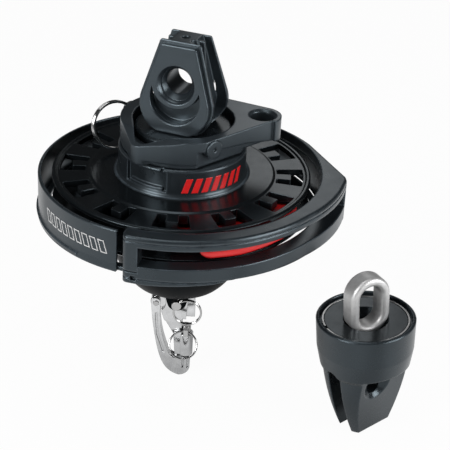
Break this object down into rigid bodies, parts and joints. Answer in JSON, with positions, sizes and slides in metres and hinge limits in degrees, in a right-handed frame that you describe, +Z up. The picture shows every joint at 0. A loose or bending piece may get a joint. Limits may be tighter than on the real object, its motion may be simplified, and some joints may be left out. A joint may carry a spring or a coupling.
{
  "type": "top-down furler",
  "caption": "Continuous line drum with line guard, free turning tack swivel, torque line terminal, base with snap shackle, and a matching head swivel.",
  "frame": {"origin": "load point inside the snap shackle's loop, where the bail of the deck fitting bears; the drum axis is vertical and stands 4.4 mm to its +X side", "axes": "+Z up along the drum axis, -Y the side with the line slot, +X towards the tack ear"},
  "size_m": [0.1935, 0.1503, 0.1926],
  "materials": {
    "drum_black": "black hard anodised, fine satin",
    "composite_black": "moulded black composite, soft sheen",
    "swivel_grey": "dark grey anodised, fine blasted",
    "base_black": "black anodised, turned",
    "stainless": "cast stainless, polished by hand",
    "ring_wire": "bright drawn wire",
    "bearing_steel": "ground and polished",
    "spindle_steel": "turned stainless",
    "stripper_red": "red acetal, smooth",
    "bushing_pale": "natural acetal",
    "screw_black": "black oxide"
  },
  "bodies": {
    "base": {"bearing_housing": "base_black", "base_bowl": "base_black", "radial_outer_race": "bearing_steel", "radial_balls": "bearing_steel", "thrust_washer_upper": "bearing_steel", "thrust_balls": "bearing_steel", "guard_clip": "spindle_steel", "swivel_housing": "base_black", "swivel_cover_plate": "swivel_grey", "swivel_snap_ring": "ring_wire", "swivel_balls": "bearing_steel"},
    "drum": {"upper_disc": "drum_black", "lower_disc": "drum_black", "drum_screws": "screw_black", "hub_cover": "composite_black", "main_spindle": "spindle_steel", "spindle_nut": "spindle_steel", "terminal_socket": "base_black", "terminal_pin": "spindle_steel", "terminal_core": "swivel_grey", "front_cheek": "swivel_grey", "rear_cheek": "swivel_grey", "cable_set_screw": "screw_black", "tack_race": "bearing_steel", "radial_inner_race": "bearing_steel", "thrust_washer_lower": "bearing_steel"},
    "tack_swivel": {"tack_plate": "swivel_grey", "filler_plug": "swivel_grey", "tack_balls": "bearing_steel"},
    "keeper": {"keeper_pin": "spindle_steel"},
    "keeper_loop": {"keeper_ring": "ring_wire"},
    "guard": {"guard_front_upper": "composite_black", "guard_front_lower": "composite_black", "guard_band": "composite_black", "guard_carrier": "composite_black", "guard_bushing": "bushing_pale", "guard_screws": "screw_black", "line_stripper": "stripper_red"},
    "shackle": {"shackle_body": "stainless", "gate_rivet": "spindle_steel", "plunger_spring": "ring_wire"},
    "gate": {"shackle_gate": "stainless"},
    "puller": {"plunger": "spindle_steel"},
    "pull_loop": {"plunger_ring": "ring_wire"},
    "clevis": {"clevis_pin": "spindle_steel"},
    "clevis_loop": {"clevis_ring": "ring_wire"},
    "halyard_link": {"swivel_eye": "stainless", "swivel_nut": "spindle_steel"}
  },
  "joints": [
    {"name": "drum_spin", "type": "hinge", "parent": "base", "child": "drum", "pos_m": [0.0044, 0, 0.098], "axis": [0, 0, 1], "continuous": true},
    {"name": "tack_turn", "type": "hinge", "parent": "drum", "child": "tack_swivel", "pos_m": [0.0044, 0, 0.11485], "axis": [0, 0, 1], "continuous": true},
    {"name": "keeper_slide", "type": "slide", "parent": "tack_swivel", "child": "keeper", "axis": [-0.7534, 0.6576, 0], "range_m": [0, 0.006]},
    {"name": "keeper_ring_swing", "type": "hinge", "parent": "keeper", "child": "keeper_loop", "pos_m": [-0.0236, 0.02444, 0.1189], "axis": [-0.4854, 0.8407, -0.2401], "range_deg": [0, 20]},
    {"name": "guard_turn", "type": "hinge", "parent": "base", "child": "guard", "pos_m": [0.0044, 0, 0.0765], "axis": [0, 0, 1], "continuous": true},
    {"name": "shackle_swing", "type": "hinge", "parent": "base", "child": "shackle", "pos_m": [0.0044, 0, 0.0235], "axis": [0, 1, 0], "range_deg": [-25, 25]},
    {"name": "clevis_turn", "type": "hinge", "parent": "base", "child": "clevis", "pos_m": [0.0044, 0, 0.0235], "axis": [0, 1, 0], "range_deg": [-40, 40]},
    {"name": "clevis_ring_swing", "type": "hinge", "parent": "clevis", "child": "clevis_loop", "pos_m": [0.0044, -0.0092, 0.0235], "axis": [-0.6, 0, -0.8], "range_deg": [0, 30]},
    {"name": "plunger_pull", "type": "slide", "parent": "shackle", "child": "puller", "axis": [0, 0, 1], "range_m": [0, 0.0045], "stiffness_N_per_m": 600, "springref_m": -0.002, "deforming": ["plunger_spring"]},
    {"name": "gate_open", "type": "hinge", "parent": "shackle", "child": "gate", "pos_m": [-0.0066, 0, 0.02], "axis": [0, 1, 0], "range_deg": [0, 80]},
    {"name": "pull_ring_swing", "type": "hinge", "parent": "puller", "child": "pull_loop", "pos_m": [0.0096, -0.0036, 0.0035], "axis": [-1, 0, 0], "range_deg": [0, 40]},
    {"name": "halyard_spin", "type": "hinge", "parent": "base", "child": "halyard_link", "pos_m": [0.10079, -0.03579, 0.02688], "axis": [-0.0694, 0, 0.9976], "continuous": true}
  ],
  "couplings": [
    {"joint": "gate_open", "follows": "plunger_pull", "rad_per_m": 310.13}
  ]
}
